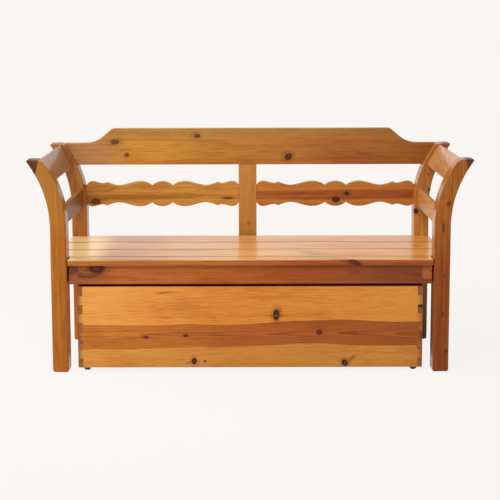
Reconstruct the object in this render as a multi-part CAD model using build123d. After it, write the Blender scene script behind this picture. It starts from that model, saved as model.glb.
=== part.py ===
from build123d import *
import math
import os

# Pine settle bench: flared open arms, scalloped back and a drawer that rolls out on four wheels.
# Millimetres. X runs along the bench, the front faces -Y, Z is up and the floor is Z = 0.

# Bench as a whole
SEAT_H = 440.0           # top of the seat above the floor
FRONT_CLEAR_W = 1404.0   # clear width between the two front legs
REAR_INSET = 25.0        # each rear leg stands this much nearer the middle than the front leg
LEG_SPACING = 556.0      # front face of a front leg to front face of the rear leg behind it

# Legs, alike at all four corners
LEG_W = 62.0
LEG_D = 70.0
LEG_H = 824.0
FLARE_START = 123.0      # the outward curve starts this far above the seat
FLARE_R = 425.0
PLANK_SHARE = {"left": 0.42, "right": 0.58}    # part of the curve's reach that fits on the leg's plank
GLUE_LEAN = 13.0         # degrees; the glue line of the tip leans out downwards
FOOT_R = 9.0
TIP_R = 5.0
SHOULDER_R = 40.0        # round from the inner curve to the flat top
LEG_EASE = 4.0

# Arms
ARM_SET = 15.0           # arm surfaces lie this far outside the legs' inner faces
ARM_BOARD_T = 32.0
ARM_BOARD_H = 91.0
ARM_BOARD_DROP = 5.0     # top of the arm board below the leg tops
ARM_BOARD_FALL = 10.0    # its top edge falls this much towards the outside
ARM_RAIL_T = 17.0
ARM_RAIL_H = 77.0
ARM_RAIL_AT = 0.544      # middle of the arm rail, share of the way up from seat to arm board
ARM_EASE = 3.0

# Seat
SEAT_T = 23.0
STRIP_D = 76.0           # narrow front strip between the front legs
STRIP_END_GAP = 3.0
PLANK_COUNT = 3
PLANK_GAP = 2.5
NOTCH_GAP = 1.0          # room around the rear legs where the rear plank is notched
SEAT_BACK_SET = 16.0     # rear edge of the seat behind the rear legs' front faces
SEAT_EASE = 4.0

# Seat box: aprons, side bearers, cleat and battens
APRON_H = 73.0
APRON_T = 30.0
APRON_SET = 12.0         # front apron behind the seat's front edge
BEARER_T = 36.0
BOX_GAP = 6.0            # between the seat box and the legs' inner faces
CORNER_FINGER_H = 20.0   # lower finger of each corner joint, part of the apron
CLEAT_T = 50.0
CLEAT_H = 30.0
BATTEN_W = 45.0
BATTEN_H = 30.0
BATTEN_X = 330.0
END_RAIL_T = 40.0
APRON_EASE = 2.0

# Back
BACK_SET = 38.0          # back boards behind the rear legs' front faces
BACK_T = 28.0
TOP_RAIL_END_H = 90.0
TOP_RAIL_RISE = 60.0     # raised middle above the rail's ends
RAISED_X = 4.0           # the raised part stands this much right of the middle
SHOULDER_TO_LEG = 80.0   # level run between the ogee and the rear leg
SHOULDER_ANGLE = 40.0
SHOULDER_CREST_R = 24.0
SHOULDER_HOLLOW_R = 110.0
CENTRE_POST_W = 74.0
CENTRE_POST_X = -11.0
SCALLOP_RAIL_AT = 0.583  # centre line of the scalloped rails, share of the way up from seat to top rail
SCALLOP_LOBE = 51.5      # half height at the lobes
SCALLOP_DIP = 35.0       # half height at the dips, notches and ends
BACK_EASE = 3.0
SCALLOP_EASE = 2.0

# Scallops: places from a rail's middle as shares of its half length
NOTCH_AT = 0.135
LOBE_AT = 0.285
DIP_AT = 0.575
CUSP_AT = 0.725
VALLEY_AT = 0.775
END_LOBE_AT = 0.9

# Scallops: heights as shares of the step from dip to lobe
FLANK_UP = 0.75          # between notch and lobe
SWEEP_UP = 0.54          # between lobe and dip
RISE_UP = 0.27           # between dip and cusp
CUSP_UP = 0.82
VALLEY_UP = 0.5

# Tenons
TENON_L = 22.0
TENON_T = 11.0
TENON_SHOULDER = 12.0
TENON_PLAY = 0.2         # glue room around a tenon
TENON_END_PLAY = 1.0

# Drawer
DRAWER_SIDE_GAP = 13.0   # to each rear leg
DRAWER_X = -1.5          # the drawer stands this much right of the middle
DRAWER_TOP_GAP = 10.0    # to the aprons
DRAWER_LIFT = 17.0       # lower edge above the floor
DRAWER_SET = 8.0         # front face behind the seat's front edge
DRAWER_D = 530.0
DRAWER_T = 20.0
DRAWER_FINGERS = 9       # fingers of a corner, the sides' and the front's by turns
FINGER_PLAY = 0.05
DRAWER_EASE = 2.0
BOTTOM_T = 8.0
GROOVE = 6.0
GROOVE_PLAY = 0.2
BOTTOM_BATTEN_W = 60.0
BATTEN_SCREW_SHARES = (0.1, 0.37, 0.63, 0.9)   # along the bottom batten

# Wheels and their housings
WHEEL_R = 13.0
WHEEL_W = 18.0
WHEEL_EASE = 2.0
HUB_R = 6.0
HUB_RECESS = 2.0
AXLE_R = 3.0
RUNNING_PLAY = 0.05      # axle in the wheel
AXLE_SEAT_PLAY = 0.02    # axle in the housing
WHEEL_SIDE_PLAY = 0.5
WHEEL_TOP_PLAY = 1.5
HOUSING_T = 2.5
CHEEK_BELOW_AXLE = 6.0
HOUSING_TO_BOARD = 1.0
SCREW_PLATE_L = 34.0
PLATE_SCREW_SHARES = (0.3, 0.75)               # along the screw plate

# Fasteners
SCREW_R = 2.0
SCREW_HEAD_R = 4.0
SCREW_HEAD_H = 2.4
SMALL_SCREW_R = 1.5
SMALL_SCREW_HEAD_R = 2.9
SMALL_SCREW_HEAD_H = 1.8
SCREW_PLAY = 0.1
SCREW_END_PLAY = 1.0
SCREW_BITE = 0.6         # share of a board's thickness that a screw's end enters
SLOT_W_SHARE = 0.5       # cross slot's width to the screw's radius
SLOT_L_SHARE = 1.1       # cross slot's length to the head's radius
HEAD_ROUND_SHARE = 0.8   # rounded part of a head's height
CLEAT_SCREW_SHARES = (-0.8, -0.25, 0.25, 0.8)  # along the cleat's half length
BOLT_R = 4.0
BOLT_PLAY = 0.2          # in the boards
NUT_PLAY = 0.02          # in nut and washer
BOLT_HEAD_R = 9.0
BOLT_HEAD_H = 4.5
NUT_R = 7.0
NUT_H = 6.5
WASHER_R = 10.0
WASHER_T = 1.6
BOLT_COUNT = 3           # per bench end
BOLT_END_ROOM = 90.0     # first and last bolt from the legs

# Worked-out places
SPLAY = math.asin(REAR_INSET / LEG_SPACING)
SEAT_UNDER = SEAT_H - SEAT_T
APRON_Z = SEAT_UNDER - APRON_H
FLARE_Z = SEAT_H + FLARE_START
FRONT_HALF = FRONT_CLEAR_W / 2
REAR_LEG_Y = LEG_SPACING * math.cos(SPLAY)
SEAT_Y1 = REAR_LEG_Y + SEAT_BACK_SET
BACK_Y0 = REAR_LEG_Y + BACK_SET
BACK_Y1 = BACK_Y0 + BACK_T
BACK_MID = (BACK_Y0 + BACK_Y1) / 2
TOP_RAIL_Z = LEG_H - TOP_RAIL_END_H
SCALLOP_Z = SEAT_H + SCALLOP_RAIL_AT * (TOP_RAIL_Z - SEAT_H)
POST_X0 = CENTRE_POST_X - CENTRE_POST_W / 2
POST_X1 = CENTRE_POST_X + CENTRE_POST_W / 2
FAR = 400.0              # reach of a cutter past the piece that it cuts

parts = {}


def block(x0, x1, y0, y1, z0, z1):
    """A plain board or cutter between two corners."""
    middle = Pos((x0 + x1) / 2, (y0 + y1) / 2, (z0 + z1) / 2)
    return middle * Box(x1 - x0, y1 - y0, z1 - z0)


def right_end(piece):
    """Place a piece of the right end: its X is out from the legs' inner faces, its Y back from their front."""
    return Pos(FRONT_HALF, 0, 0) * Rot(0, 0, math.degrees(SPLAY)) * piece


def other_side(piece):
    """The left-hand copy of a right-hand piece."""
    return mirror(piece, about=Plane.YZ)


def same_side(piece):
    """A right-hand piece as it is."""
    return piece


SIDES = {"left": other_side, "right": same_side}


def both_ends(piece):
    """A cutter of the right end, placed there and mirrored to the left."""
    placed = right_end(piece)
    return placed + other_side(placed)


def group(pieces):
    """Separate solids that share one node."""
    return Compound([solid for piece in pieces for solid in piece.solids()])


def half_width(y, out=0.0):
    """Half the clear width between the bench ends at a depth, out to a plane beyond their inner faces."""
    return FRONT_HALF - y * math.tan(SPLAY) + out / math.cos(SPLAY)


def crosswise(y0, y1, z0, z1, out=0.0):
    """A board along the bench whose ends follow the splayed bench ends."""
    w0 = half_width(y0, out)
    w1 = half_width(y1, out)
    plan = make_face(Polyline((-w0, y0), (w0, y0), (w1, y1), (-w1, y1), close=True))
    return Pos(0, 0, z0) * extrude(plan, amount=z1 - z0)


def upright(face, depth):
    """Stand an outline up in X and Z and give it a depth towards +Y."""
    return extrude(Plane.XZ * face, amount=-depth)


def ease(piece, axis, radius):
    """Round the long edges of a board."""
    return fillet(piece.edges().filter_by(axis), radius)


def flare(z):
    """How far the leg's curve has moved out at a height."""
    rise = max(0.0, z - FLARE_Z)
    return FLARE_R - math.sqrt(FLARE_R**2 - rise**2)


def flare_arc(shift, z0, z1):
    """The legs' outward curve between two heights, moved out by a shift."""
    mid = (z0 + z1) / 2
    return ThreePointArc((shift + flare(z0), z0), (shift + flare(mid), mid), (shift + flare(z1), z1))


def leg_blank():
    """One leg with its flare, rounded foot and eased edges, its inner front corner at the origin."""
    top_in = flare(LEG_H)
    outline = Polyline((0, FLARE_Z), (0, 0), (LEG_W, 0), (LEG_W, FLARE_Z))
    outline += flare_arc(LEG_W, FLARE_Z, LEG_H)
    outline += Line((LEG_W + top_in, LEG_H), (top_in, LEG_H))
    outline += flare_arc(0, FLARE_Z, LEG_H)
    face = make_face(outline)
    face = fillet(face.vertices().group_by(Axis.Y)[0], FOOT_R)
    face = fillet(face.vertices().sort_by(Axis.X)[-1], TIP_R)
    shoulder = Vector(top_in, LEG_H)
    face = fillet(face.vertices().sort_by_distance(shoulder)[0], SHOULDER_R)
    leg = upright(face, LEG_D)
    rims = leg.faces().filter_by(Axis.Y).edges()
    return fillet(rims, LEG_EASE)


def past_plank(side):
    """Everything past the edge of a leg's plank, where the tip is glued on."""
    edge = LEG_W + PLANK_SHARE[side] * flare(LEG_H)
    region = block(0, FAR, -FAR, LEG_SPACING + FAR, -FAR, FAR)
    return Pos(edge, 0, LEG_H) * Rot(0, -GLUE_LEAN, 0) * region


def beyond_curve(shift):
    """Everything outside the legs' inner curve, moved out by a shift, at the right end."""
    top = LEG_H + FAR
    outline = Polyline((shift, FLARE_Z), (shift, 0), (FAR, 0), (FAR, top))
    outline += Line((FAR, top), (shift + flare(LEG_H), top))
    outline += Line((shift + flare(LEG_H), top), (shift + flare(LEG_H), LEG_H))
    outline += flare_arc(shift, FLARE_Z, LEG_H)
    region = upright(make_face(outline), LEG_SPACING + FAR)
    return right_end(region)


def arm_section(shift0, shift1, z0, z1, fall):
    """Section of the curved arm board between two shifts of the legs' curve."""
    outline = flare_arc(shift0, z0, z1)
    outline += Line((shift0 + flare(z1), z1), (shift1 + flare(z1 - fall), z1 - fall))
    outline += flare_arc(shift1, z0, z1 - fall)
    outline += Line((shift0 + flare(z0), z0), (shift1 + flare(z0), z0))
    return make_face(outline)


def arm_board():
    z0 = LEG_H - ARM_BOARD_H
    z1 = LEG_H - ARM_BOARD_DROP
    face = arm_section(ARM_SET, ARM_SET + ARM_BOARD_T, z0, z1, ARM_BOARD_FALL)
    face = fillet(face.vertices(), ARM_EASE)
    board = Pos(0, LEG_D, 0) * upright(face, LEG_SPACING - LEG_D)
    return board + arm_board_tenon(0, 0)


def arm_board_tenon(play, end_play):
    side = ARM_SET + (ARM_BOARD_T - TENON_T) / 2
    z0 = LEG_H - ARM_BOARD_H + TENON_SHOULDER
    z1 = LEG_H - ARM_BOARD_DROP - ARM_BOARD_FALL - TENON_SHOULDER
    face = arm_section(side - play, side + TENON_T + play, z0 - play, z1 + play, 0)
    reach = TENON_L + end_play
    return Pos(0, LEG_D - reach, 0) * upright(face, LEG_SPACING - LEG_D + 2 * reach)


def straight_rail(u0, u1, z0, z1, radius):
    """A straight rail of a bench end between its two legs, with a tenon at each end."""
    board = ease(block(u0, u1, LEG_D, LEG_SPACING, z0, z1), Axis.Y, radius)
    return board + straight_rail_tenon(u0, u1, z0, z1, 0, 0)


def straight_rail_tenon(u0, u1, z0, z1, play, end_play):
    mid = (u0 + u1) / 2
    half = TENON_T / 2 + play
    reach = TENON_L + end_play
    low = z0 + TENON_SHOULDER - play
    high = z1 - TENON_SHOULDER + play
    return block(mid - half, mid + half, LEG_D - reach, LEG_SPACING + reach, low, high)


ARM_RAIL_Z = SEAT_H + ARM_RAIL_AT * (LEG_H - ARM_BOARD_H - SEAT_H) - ARM_RAIL_H / 2
ARM_RAIL = (ARM_SET, ARM_SET + ARM_RAIL_T, ARM_RAIL_Z, ARM_RAIL_Z + ARM_RAIL_H)
BEARER_IN = -BOX_GAP - BEARER_T
END_RAIL = (-BOX_GAP, END_RAIL_T, APRON_Z, SEAT_UNDER)


def back_tenon(x0, x1, z0, z1, play):
    """Tenon or mortise in the thickness of the back, between two places along the bench."""
    half = TENON_T / 2 + play
    return block(x0, x1, BACK_MID - half, BACK_MID + half, z0 - play, z1 + play)


def post_tongue(play, end_play):
    """The centre post's tenons, as one tongue from the rear apron up into the top rail."""
    x0 = POST_X0 + TENON_SHOULDER - play
    x1 = POST_X1 - TENON_SHOULDER + play
    reach = TENON_L + end_play - play
    return back_tenon(x0, x1, SEAT_UNDER - reach, TOP_RAIL_Z + reach, play)


TOP_TENON_Z = (TOP_RAIL_Z + TENON_SHOULDER, LEG_H - 2 * TENON_SHOULDER)
SCALLOP_TENON_Z = (SCALLOP_Z - SCALLOP_DIP + TENON_SHOULDER, SCALLOP_Z + SCALLOP_DIP - TENON_SHOULDER)


def make_bench_ends():
    """Legs with their tips, arm boards, arm rails and end rails, left and right."""
    blank = leg_blank()
    mortises = arm_board_tenon(TENON_PLAY, TENON_END_PLAY)
    mortises += straight_rail_tenon(*ARM_RAIL, TENON_PLAY, TENON_END_PLAY)
    mortises += straight_rail_tenon(*END_RAIL, TENON_PLAY, TENON_END_PLAY)
    reach = half_width(0, LEG_W) + FAR
    back_mortises = back_tenon(0, reach, *TOP_TENON_Z, TENON_PLAY)
    back_mortises += back_tenon(0, reach, *SCALLOP_TENON_Z, TENON_PLAY)
    back_mortises -= beyond_curve(TENON_L + TENON_END_PLAY)
    for row, start in (("front", 0.0), ("rear", LEG_SPACING)):
        whole = Pos(0, start, 0) * blank - mortises
        for side, place in SIDES.items():
            glued = past_plank(side)
            leg = right_end(whole - glued)
            if row == "rear":
                leg -= back_mortises
            parts[f"leg_{row}_{side}"] = place(leg)
            parts[f"leg_tip_{row}_{side}"] = place(right_end(whole & glued))
    end_pieces = {
        "arm_board": arm_board(),
        "arm_rail": straight_rail(*ARM_RAIL, ARM_EASE),
        "end_rail": straight_rail(*END_RAIL, APRON_EASE) - bolt_holes(),
    }
    for name, piece in end_pieces.items():
        for side, place in SIDES.items():
            parts[f"{name}_{side}"] = place(right_end(piece))


def bolt_places():
    """Where the carriage bolts cross a bench end: depth and height."""
    first = LEG_D + BOLT_END_ROOM
    step = (LEG_SPACING - LEG_D - 2 * BOLT_END_ROOM) / (BOLT_COUNT - 1)
    return [(first + step * i, APRON_Z + APRON_H / 2) for i in range(BOLT_COUNT)]


def along_x(u0, u1, radius, v, z):
    """A round bar or hole across a bench end."""
    return Pos((u0 + u1) / 2, v, z) * Rot(0, 90, 0) * Cylinder(radius, u1 - u0)


def bolt_holes():
    """Holes for the carriage bolts through end rail and bearer."""
    holes = [along_x(BEARER_IN, END_RAIL_T, BOLT_R + BOLT_PLAY, v, z) for v, z in bolt_places()]
    return group(holes)


def make_bolts():
    """Carriage bolts through end rail and bearer: domed heads outside, washers and nuts inside."""
    washer_u = BEARER_IN - WASHER_T
    nut_u = washer_u - NUT_H
    end_u = nut_u - BOLT_R / 2
    bolts = []
    washers = []
    nuts = []
    for v, z in bolt_places():
        dome = Pos(END_RAIL_T, v, z) * Rot(0, -90, 0) * round_head(BOLT_HEAD_R, BOLT_HEAD_H)
        bolts.append(right_end(dome + along_x(end_u, END_RAIL_T, BOLT_R, v, z)))
        hole = along_x(nut_u, BEARER_IN, BOLT_R + NUT_PLAY, v, z)
        washers.append(right_end(along_x(washer_u, BEARER_IN, WASHER_R, v, z) - hole))
        hexagon = extrude(RegularPolygon(NUT_R, 6), amount=NUT_H)
        nuts.append(right_end(Pos(nut_u, v, z) * Rot(0, 90, 0) * hexagon - hole))
    for name, half in (("end_bolts", bolts), ("end_bolt_washers", washers), ("end_bolt_nuts", nuts)):
        parts[name] = group(half + [other_side(piece) for piece in half])


def round_head(radius, height):
    """Round head under the level that it bears on, its lower rim rounded."""
    disc = Pos(0, 0, -height / 2) * Cylinder(radius, height)
    return fillet(disc.edges().group_by(Axis.Z)[0], height * HEAD_ROUND_SHARE)


def screw(length, radius, head_r, head_h):
    """A round-head screw pointing up from its head's bearing face, with a cross slot."""
    head = round_head(head_r, head_h)
    slot_w = radius * SLOT_W_SHARE
    slot_l = head_r * SLOT_L_SHARE
    slot = Pos(0, 0, -head_h) * (Box(slot_l, slot_w, head_h) + Box(slot_w, slot_l, head_h))
    point = Pos(0, 0, length - radius / 2) * Cone(radius, radius / 2, radius)
    return head - slot + Pos(0, 0, (length - radius) / 2) * Cylinder(radius, length - radius) + point


def screw_hole(length, radius):
    """Hole that a screw of this length turns in, a little wider and deeper."""
    deep = length + SCREW_END_PLAY
    return Pos(0, 0, deep / 2) * Cylinder(radius + SCREW_PLAY, deep)


def make_seat_box():
    """Aprons and bearers joined by corner fingers, and the cleat and battens that carry the seat."""
    finger_z = APRON_Z + CORNER_FINGER_H
    through = both_ends(block(BEARER_IN, FAR, -FAR, LEG_SPACING + FAR, finger_z, SEAT_UNDER))
    front = ease(crosswise(APRON_SET, APRON_SET + APRON_T, APRON_Z, SEAT_UNDER, -BOX_GAP), Axis.X, APRON_EASE)
    rear = ease(crosswise(BACK_Y0, BACK_Y1, APRON_Z, SEAT_UNDER, -BOX_GAP), Axis.X, APRON_EASE)
    parts["apron_front"] = front - through
    parts["apron_rear"] = rear - through - post_tongue(TENON_PLAY, TENON_END_PLAY)
    bearer = right_end(block(BEARER_IN, -BOX_GAP, -FAR, LEG_SPACING + FAR, APRON_Z, SEAT_UNDER) - bolt_holes())
    bearer &= block(0, FRONT_CLEAR_W, APRON_SET, BACK_Y1, APRON_Z, SEAT_UNDER)
    bearer -= block(0, FRONT_CLEAR_W, 0, APRON_SET + APRON_T, APRON_Z, finger_z)
    bearer -= block(0, FRONT_CLEAR_W, BACK_Y0, BACK_Y1, APRON_Z, finger_z)
    for side, place in SIDES.items():
        parts[f"bearer_{side}"] = place(bearer)
    parts["seat_cleat"] = crosswise(BACK_Y0 - CLEAT_T, BACK_Y0, SEAT_UNDER - CLEAT_H, SEAT_UNDER, BEARER_IN)
    batten_y = (APRON_SET + APRON_T, BACK_Y0 - CLEAT_T)
    half = BATTEN_W / 2
    batten = block(BATTEN_X - half, BATTEN_X + half, *batten_y, SEAT_UNDER - BATTEN_H, SEAT_UNDER)
    for side, place in SIDES.items():
        parts[f"seat_batten_{side}"] = place(batten)


def seat_rows():
    """Front and rear edge of the front strip and of each plank."""
    first = STRIP_D + PLANK_GAP
    plank_d = (SEAT_Y1 - first - PLANK_GAP * (PLANK_COUNT - 1)) / PLANK_COUNT
    rows = [(0.0, STRIP_D)]
    for i in range(PLANK_COUNT):
        start = first + i * (plank_d + PLANK_GAP)
        rows.append((start, start + plank_d))
    return rows


def make_seat():
    """Front strip between the front legs and planks out to the legs' outer faces."""
    rear_legs = block(-NOTCH_GAP, LEG_W + FAR, LEG_SPACING - NOTCH_GAP, LEG_SPACING + FAR, 0, SEAT_H)
    for i, (y0, y1) in enumerate(seat_rows()):
        out = LEG_W if i else -STRIP_END_GAP
        board = ease(crosswise(y0, y1, SEAT_UNDER, SEAT_H, out), Axis.X, SEAT_EASE)
        name = f"seat_plank_{i}" if i else "seat_front_strip"
        parts[name] = board - both_ends(rear_legs)


def scallop_edge(half, flip):
    """Upper edge of a scalloped rail from its middle to an end, as a list of curves about its centre line."""

    def at(share, up):
        return (flip * half * share, SCALLOP_DIP + (SCALLOP_LOBE - SCALLOP_DIP) * up)

    flank = at((NOTCH_AT + LOBE_AT) / 2, FLANK_UP)
    sweep = at((LOBE_AT + DIP_AT) / 2, SWEEP_UP)
    rise = at((DIP_AT + CUSP_AT) / 2, RISE_UP)
    cusp = at(CUSP_AT, CUSP_UP)
    return [
        Spline(at(NOTCH_AT, 0), flank, at(LOBE_AT, 1), sweep, at(DIP_AT, 0), rise, cusp),
        Spline(cusp, at(VALLEY_AT, VALLEY_UP), at(END_LOBE_AT, 1), at(1, 0)),
    ]


def scalloped_rail(x0, x1):
    """A rail sawn to lobes and notches along both edges, the lower edge the upper one's mirror image."""
    half = (x1 - x0) / 2
    notch_x = half * NOTCH_AT
    upper = ThreePointArc((-notch_x, SCALLOP_DIP), (0, SCALLOP_LOBE), (notch_x, SCALLOP_DIP))
    for curve in scallop_edge(half, 1) + scallop_edge(half, -1):
        upper += curve
    upper += Line((half, SCALLOP_DIP), (half, 0))
    upper += Line((-half, SCALLOP_DIP), (-half, 0))
    outline = upper + mirror(upper, about=Plane.XZ)
    face = make_face(outline)
    rail = Pos((x0 + x1) / 2, BACK_Y0, SCALLOP_Z) * upright(face, BACK_T)
    rims = rail.faces().filter_by(Axis.Y).edges().filter_by(GeomType.LINE, reverse=True)
    return fillet(rims, SCALLOP_EASE)


def rail_reach():
    """Half length of a back rail before its ends are trimmed to the legs' curve."""
    return half_width(0, LEG_W) + flare(LEG_H)


def top_rail():
    """Rail with a raised middle and an ogee shoulder down to each end."""
    angle = math.radians(SHOULDER_ANGLE)
    run = TOP_RAIL_RISE / math.tan(angle)
    level_x = half_width(BACK_MID) + flare(LEG_H) - SHOULDER_TO_LEG
    foot_x = level_x - SHOULDER_HOLLOW_R * math.tan(angle / 2)
    crest_x = foot_x - run
    wide = rail_reach()
    high = LEG_H + TOP_RAIL_RISE
    outline = FilletPolyline(
        (-wide, LEG_H),
        (RAISED_X - foot_x, LEG_H),
        (RAISED_X - crest_x, high),
        (RAISED_X + crest_x, high),
        (RAISED_X + foot_x, LEG_H),
        (wide, LEG_H),
        radius=[SHOULDER_HOLLOW_R, SHOULDER_CREST_R, SHOULDER_CREST_R, SHOULDER_HOLLOW_R],
    )
    outline += Polyline((wide, LEG_H), (wide, TOP_RAIL_Z), (-wide, TOP_RAIL_Z), (-wide, LEG_H))
    rail = Pos(0, BACK_Y0, 0) * upright(make_face(outline), BACK_T)
    rims = rail.faces().filter_by(Axis.Y).edges()
    return fillet(rims, BACK_EASE)


def make_back():
    """Top rail, centre post and the two scalloped rails, tenoned together and into the rear legs."""
    outside = beyond_curve(0)
    outside += other_side(outside)
    tenon_end = beyond_curve(TENON_L)
    tenon_end += other_side(tenon_end)
    wide = rail_reach()
    rail = top_rail() - outside
    rail += back_tenon(-wide, wide, *TOP_TENON_Z, 0) - tenon_end
    parts["back_top_rail"] = rail - post_tongue(TENON_PLAY, TENON_END_PLAY)
    post = ease(block(POST_X0, POST_X1, BACK_Y0, BACK_Y1, SEAT_UNDER, TOP_RAIL_Z), Axis.Z, BACK_EASE)
    sockets = back_tenon(POST_X0, POST_X0 + TENON_L + TENON_END_PLAY, *SCALLOP_TENON_Z, TENON_PLAY)
    sockets += back_tenon(POST_X1 - TENON_L - TENON_END_PLAY, POST_X1, *SCALLOP_TENON_Z, TENON_PLAY)
    parts["back_centre_post"] = post + post_tongue(0, 0) - sockets
    leg_x = half_width(BACK_MID) + flare(SCALLOP_Z)
    left = scalloped_rail(-leg_x - LEG_EASE, POST_X0) - outside
    left += back_tenon(-wide, POST_X0 + TENON_L, *SCALLOP_TENON_Z, 0) - tenon_end
    right = scalloped_rail(POST_X1, leg_x + LEG_EASE) - outside
    right += back_tenon(POST_X1 - TENON_L, wide, *SCALLOP_TENON_Z, 0) - tenon_end
    parts["scalloped_rail_left"] = left
    parts["scalloped_rail_right"] = right


def make_seat_screws():
    """Screws up through the battens into each seat board, and through the cleat into the rear apron."""
    length = BATTEN_H + SEAT_T * SCREW_BITE
    one = screw(length, SCREW_R, SCREW_HEAD_R, SCREW_HEAD_H)
    hole = screw_hole(length, SCREW_R)
    screws = []
    batten_y0 = APRON_SET + APRON_T
    for i, (y0, y1) in enumerate(seat_rows()):
        y = (max(y0, batten_y0) + min(y1, BACK_Y0 - CLEAT_T)) / 2
        seat = Pos(BATTEN_X, y, SEAT_UNDER - BATTEN_H)
        board = f"seat_plank_{i}" if i else "seat_front_strip"
        for side, place in SIDES.items():
            screws.append(place(seat * one))
            parts[board] -= place(seat * hole)
            parts[f"seat_batten_{side}"] -= place(seat * hole)
    parts["seat_screws"] = group(screws)
    length = CLEAT_T + BACK_T * SCREW_BITE
    one = screw(length, SCREW_R, SCREW_HEAD_R, SCREW_HEAD_H)
    hole = screw_hole(length, SCREW_R)
    screws = []
    cleat_half = half_width(BACK_Y0, BEARER_IN)
    for share in CLEAT_SCREW_SHARES:
        place = Pos(share * cleat_half, BACK_Y0 - CLEAT_T, SEAT_UNDER - CLEAT_H / 2) * Rot(-90, 0, 0)
        screws.append(place * one)
        parts["seat_cleat"] -= place * hole
        parts["apron_rear"] -= place * hole
    parts["cleat_screws"] = group(screws)


# Drawer places
DRAWER_HALF = half_width(REAR_LEG_Y) - DRAWER_SIDE_GAP
DRAWER_IN = DRAWER_HALF - DRAWER_T
DRAWER_Z0 = DRAWER_LIFT
DRAWER_Z1 = APRON_Z - DRAWER_TOP_GAP
DRAWER_Y0 = DRAWER_SET
DRAWER_Y1 = DRAWER_SET + DRAWER_D
BOTTOM_Z = 2 * WHEEL_R + WHEEL_TOP_PLAY + HOUSING_T
HOUSING_HALF = WHEEL_W / 2 + WHEEL_SIDE_PLAY + HOUSING_T
WHEEL_X = DRAWER_IN - HOUSING_HALF
WHEEL_IN_Y = HOUSING_TO_BOARD + WHEEL_R + WHEEL_TOP_PLAY
WHEEL_ROWS = {
    "front": (DRAWER_Y0 + DRAWER_T + WHEEL_IN_Y, 1),
    "rear": (DRAWER_Y1 - DRAWER_T - WHEEL_IN_Y, -1),
}


def make_drawer_box():
    """Four boards with finger-jointed corners around a bottom panel held in grooves."""
    finger_h = (DRAWER_Z1 - DRAWER_Z0) / DRAWER_FINGERS
    panel_x = DRAWER_IN + GROOVE
    panel_y = (DRAWER_Y0 + DRAWER_T - GROOVE, DRAWER_Y1 - DRAWER_T + GROOVE)
    panel_z = (BOTTOM_Z, BOTTOM_Z + BOTTOM_T)
    groove = block(-panel_x, panel_x, *panel_y, panel_z[0] - GROOVE_PLAY, panel_z[1] + GROOVE_PLAY)
    front = block(-DRAWER_HALF, DRAWER_HALF, DRAWER_Y0, DRAWER_Y0 + DRAWER_T, DRAWER_Z0, DRAWER_Z1)
    back = Pos(0, DRAWER_D - DRAWER_T, 0) * front
    side = block(DRAWER_IN, DRAWER_HALF, DRAWER_Y0, DRAWER_Y1, DRAWER_Z0, DRAWER_Z1)
    for i in range(DRAWER_FINGERS):
        z0 = DRAWER_Z0 + i * finger_h
        z1 = z0 + finger_h
        if i % 2 == 0:
            notch = block(DRAWER_IN, DRAWER_HALF, DRAWER_Y0, DRAWER_Y1, z0 - FINGER_PLAY, z1 + FINGER_PLAY)
            notch += other_side(notch)
            front -= notch
            back -= notch
        else:
            side -= block(DRAWER_IN, DRAWER_HALF, DRAWER_Y0, DRAWER_Y0 + DRAWER_T, z0, z1)
            side -= block(DRAWER_IN, DRAWER_HALF, DRAWER_Y1 - DRAWER_T, DRAWER_Y1, z0, z1)
    whole = block(-DRAWER_HALF, DRAWER_HALF, DRAWER_Y0, DRAWER_Y1, DRAWER_Z0, DRAWER_Z1)
    envelope = fillet(whole.edges(), DRAWER_EASE)
    parts["drawer_front"] = (front & envelope) - groove
    parts["drawer_back"] = (back & envelope) - groove
    for name, place in SIDES.items():
        parts[f"drawer_side_{name}"] = place((side & envelope) - groove)
    bottom_x = panel_x - GROOVE_PLAY
    bottom_y = (panel_y[0] + GROOVE_PLAY, panel_y[1] - GROOVE_PLAY)
    parts["drawer_bottom"] = block(-bottom_x, bottom_x, *bottom_y, *panel_z)
    half = BOTTOM_BATTEN_W / 2
    batten_y = (DRAWER_Y0 + DRAWER_T, DRAWER_Y1 - DRAWER_T)
    parts["drawer_bottom_batten"] = block(-half, half, *batten_y, DRAWER_Z0, BOTTOM_Z)
    length = BOTTOM_Z - DRAWER_Z0 + BOTTOM_T * SCREW_BITE
    one = screw(length, SMALL_SCREW_R, SMALL_SCREW_HEAD_R, SMALL_SCREW_HEAD_H)
    hole = screw_hole(length, SMALL_SCREW_R)
    screws = []
    for share in BATTEN_SCREW_SHARES:
        place = Pos(0, batten_y[0] + share * (batten_y[1] - batten_y[0]), DRAWER_Z0)
        screws.append(place * one)
        parts["drawer_bottom_batten"] -= place * hole
        parts["drawer_bottom"] -= place * hole
    parts["drawer_batten_screws"] = group(screws)


def wheel():
    """A small solid wheel along X, with rounded rims and a recess round its hub on each face."""
    tread = ease_rims(Rot(0, 90, 0) * Cylinder(WHEEL_R, WHEEL_W), WHEEL_EASE)
    ring_r = (WHEEL_R + HUB_R) / 2
    recess = Rot(0, 90, 0) * (Cylinder(ring_r, HUB_RECESS) - Cylinder(HUB_R, HUB_RECESS))
    off = (WHEEL_W - HUB_RECESS) / 2
    bore = Rot(0, 90, 0) * Cylinder(AXLE_R + RUNNING_PLAY, WHEEL_W)
    return tread - Pos(off, 0, 0) * recess - Pos(-off, 0, 0) * recess - bore


def ease_rims(piece, radius):
    """Round the circular rims of a turned piece."""
    return fillet(piece.edges().filter_by(GeomType.CIRCLE), radius)


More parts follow.
